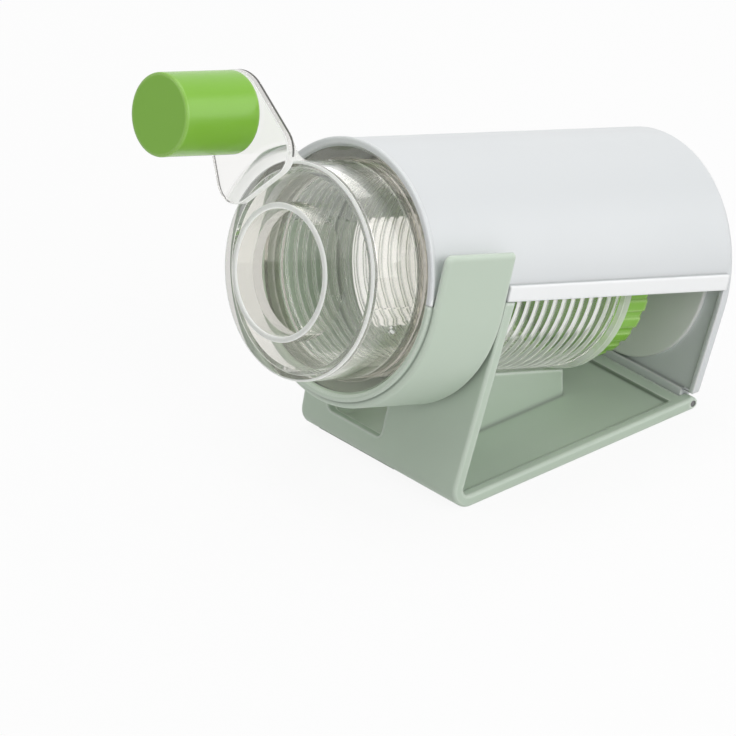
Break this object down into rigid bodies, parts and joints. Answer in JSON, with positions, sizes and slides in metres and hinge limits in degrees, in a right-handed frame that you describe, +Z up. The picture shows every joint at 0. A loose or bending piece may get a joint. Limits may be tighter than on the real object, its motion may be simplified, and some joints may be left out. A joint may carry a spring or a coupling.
{
  "type": "hand-cranked spiralizer",
  "caption": "Hand-cranked drum vegetable spiralizer: tilted clear drum with crank, blade insert and hinged arched cover on a bent stand.",
  "frame": {"origin": "middle of the stand's flat underside, on the table", "axes": "+Z up, +Y from the crank end to the hinged rear wall, +X to the right of the person at the crank"},
  "size_m": [0.117, 0.2159, 0.1692],
  "materials": {
    "sage_plastic": "satin moulded plastic",
    "white_plastic": "satin moulded plastic",
    "green_plastic": "semi-gloss moulded plastic",
    "clear_plastic": "clear polished plastic",
    "frosted_plastic": "satin moulded plastic",
    "steel": "satin",
    "rubber": "matt"
  },
  "bodies": {
    "base": {"stand": "sage_plastic", "non_slip_pads": "rubber", "hinge_rod": "steel"},
    "cover": {"cover": "white_plastic", "holder_plate": "frosted_plastic", "holder_prongs": "steel", "holder_screw": "steel"},
    "carrier": {"guide_ring": "clear_plastic"},
    "drum": {"drum": "clear_plastic", "crank": "clear_plastic", "crank_pin": "steel", "pin_washer": "steel", "pin_screw": "steel", "cutter_ring": "green_plastic", "slicing_blade": "steel", "blade_screws": "steel", "scoring_knives": "steel", "core_cutter": "steel"},
    "knob": {"knob_grip": "green_plastic", "knob_insert": "white_plastic"}
  },
  "joints": [
    {"name": "cover_hinge", "type": "hinge", "parent": "base", "child": "cover", "pos_m": [0, 0.06046, 0.0024], "axis": [-1, 0, 0], "range_deg": [0, 70]},
    {"name": "drum_advance", "type": "slide", "parent": "base", "child": "carrier", "axis": [0, 0.9537, -0.3007], "range_m": [-0.06, 0.017]},
    {"name": "drum_turn", "type": "hinge", "parent": "carrier", "child": "drum", "pos_m": [0, -0.07265, 0.091], "axis": [0, 0.9537, -0.3007], "range_deg": [-4590, 1300]},
    {"name": "knob_spin", "type": "hinge", "parent": "drum", "child": "knob", "pos_m": [-0.04861, -0.08587, 0.1432], "axis": [0, 0.9537, -0.3007], "continuous": true}
  ],
  "couplings": [
    {"joint": "drum_advance", "follows": "drum_turn", "m_per_rad": 0.00074803}
  ]
}
